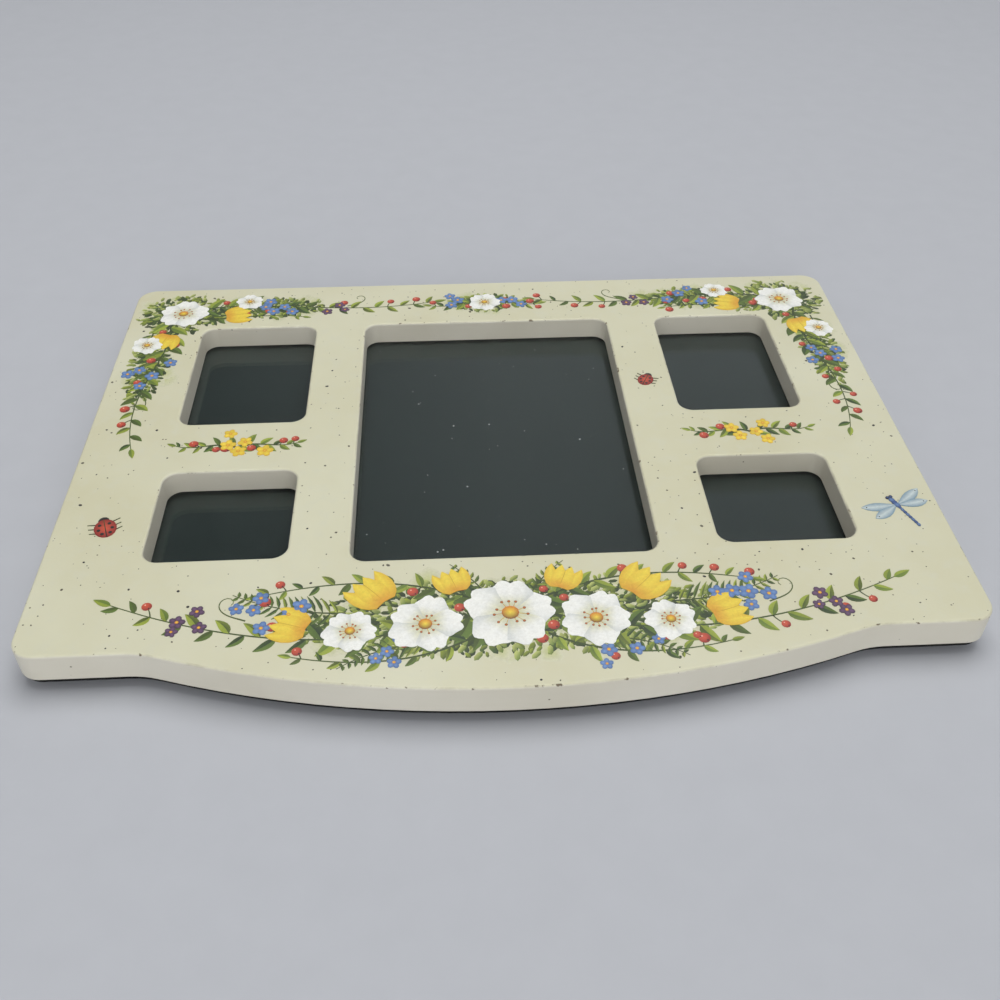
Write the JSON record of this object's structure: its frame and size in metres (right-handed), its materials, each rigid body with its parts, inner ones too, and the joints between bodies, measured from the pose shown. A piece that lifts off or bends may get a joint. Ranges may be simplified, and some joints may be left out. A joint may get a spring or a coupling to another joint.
{
  "type": "collage photo frame",
  "caption": "Wall-hung collage photo frame: thick painted board with a bowed bottom edge and glazed windows, a black back with swivelling turn buttons, and sawtooth hangers.",
  "frame": {"origin": "middle of the frame's outline, on the surface that the frame lies on, back down", "axes": "+X to the frame's right as seen from the front, +Y to its top edge, +Z out of its front face"},
  "size_m": [0.3556, 0.2694, 0.0183],
  "materials": {
    "cream_paint": "satin cream paint with fine dark specks and painted flowers, on fibreboard",
    "black_board": "matte black hardboard",
    "glass": "clear float glass",
    "zinc_steel": "bright zinc-plated stamped steel",
    "rubber": "matte black rubber"
  },
  "bodies": {
    "frame": {"front_board": "cream_paint", "back_panel": "black_board", "glass_centre": "glass", "glass_upper_left": "glass", "glass_upper_right": "glass", "glass_lower_left": "glass", "glass_lower_right": "glass", "backing_centre": "black_board", "backing_upper_left": "black_board", "backing_upper_right": "black_board", "backing_lower_left": "black_board", "backing_lower_right": "black_board", "turn_button_screws": "zinc_steel", "panel_screws": "zinc_steel", "hanger_left": "zinc_steel", "hanger_right": "zinc_steel", "hanger_nails": "zinc_steel", "bumper_left": "rubber", "bumper_right": "rubber"},
    "turn_button_centre_top_left": {"turn_button_centre_top_left": "zinc_steel"},
    "turn_button_centre_top_right": {"turn_button_centre_top_right": "zinc_steel"},
    "turn_button_centre_bottom_left": {"turn_button_centre_bottom_left": "zinc_steel"},
    "turn_button_centre_bottom_right": {"turn_button_centre_bottom_right": "zinc_steel"},
    "turn_button_upper_left_outer": {"turn_button_upper_left_outer": "zinc_steel"},
    "turn_button_upper_left_inner": {"turn_button_upper_left_inner": "zinc_steel"},
    "turn_button_upper_right_outer": {"turn_button_upper_right_outer": "zinc_steel"},
    "turn_button_upper_right_inner": {"turn_button_upper_right_inner": "zinc_steel"},
    "turn_button_lower_left_outer": {"turn_button_lower_left_outer": "zinc_steel"},
    "turn_button_lower_left_inner": {"turn_button_lower_left_inner": "zinc_steel"},
    "turn_button_lower_right_outer": {"turn_button_lower_right_outer": "zinc_steel"},
    "turn_button_lower_right_inner": {"turn_button_lower_right_inner": "zinc_steel"}
  },
  "joints": [
    {"name": "swivel_centre_top_left", "type": "hinge", "parent": "frame", "child": "turn_button_centre_top_left", "pos_m": [-0.035, 0.1097, 0.00235], "axis": [0, 0, 1], "continuous": true},
    {"name": "swivel_centre_top_right", "type": "hinge", "parent": "frame", "child": "turn_button_centre_top_right", "pos_m": [0.035, 0.1097, 0.00235], "axis": [0, 0, 1], "continuous": true},
    {"name": "swivel_centre_bottom_left", "type": "hinge", "parent": "frame", "child": "turn_button_centre_bottom_left", "pos_m": [-0.035, -0.0833, 0.00235], "axis": [0, 0, 1], "continuous": true},
    {"name": "swivel_centre_bottom_right", "type": "hinge", "parent": "frame", "child": "turn_button_centre_bottom_right", "pos_m": [0.035, -0.0833, 0.00235], "axis": [0, 0, 1], "continuous": true},
    {"name": "swivel_upper_left_outer", "type": "hinge", "parent": "frame", "child": "turn_button_upper_left_outer", "pos_m": [-0.151, 0.05785, 0.00235], "axis": [0, 0, 1], "continuous": true},
    {"name": "swivel_upper_left_inner", "type": "hinge", "parent": "frame", "child": "turn_button_upper_left_inner", "pos_m": [-0.073, 0.05785, 0.00235], "axis": [0, 0, 1], "continuous": true},
    {"name": "swivel_upper_right_outer", "type": "hinge", "parent": "frame", "child": "turn_button_upper_right_outer", "pos_m": [0.151, 0.05785, 0.00235], "axis": [0, 0, 1], "continuous": true},
    {"name": "swivel_upper_right_inner", "type": "hinge", "parent": "frame", "child": "turn_button_upper_right_inner", "pos_m": [0.073, 0.05785, 0.00235], "axis": [0, 0, 1], "continuous": true},
    {"name": "swivel_lower_left_outer", "type": "hinge", "parent": "frame", "child": "turn_button_lower_left_outer", "pos_m": [-0.151, -0.0406, 0.00235], "axis": [0, 0, 1], "continuous": true},
    {"name": "swivel_lower_left_inner", "type": "hinge", "parent": "frame", "child": "turn_button_lower_left_inner", "pos_m": [-0.073, -0.0406, 0.00235], "axis": [0, 0, 1], "continuous": true},
    {"name": "swivel_lower_right_outer", "type": "hinge", "parent": "frame", "child": "turn_button_lower_right_outer", "pos_m": [0.151, -0.0406, 0.00235], "axis": [0, 0, 1], "continuous": true},
    {"name": "swivel_lower_right_inner", "type": "hinge", "parent": "frame", "child": "turn_button_lower_right_inner", "pos_m": [0.073, -0.0406, 0.00235], "axis": [0, 0, 1], "continuous": true}
  ]
}
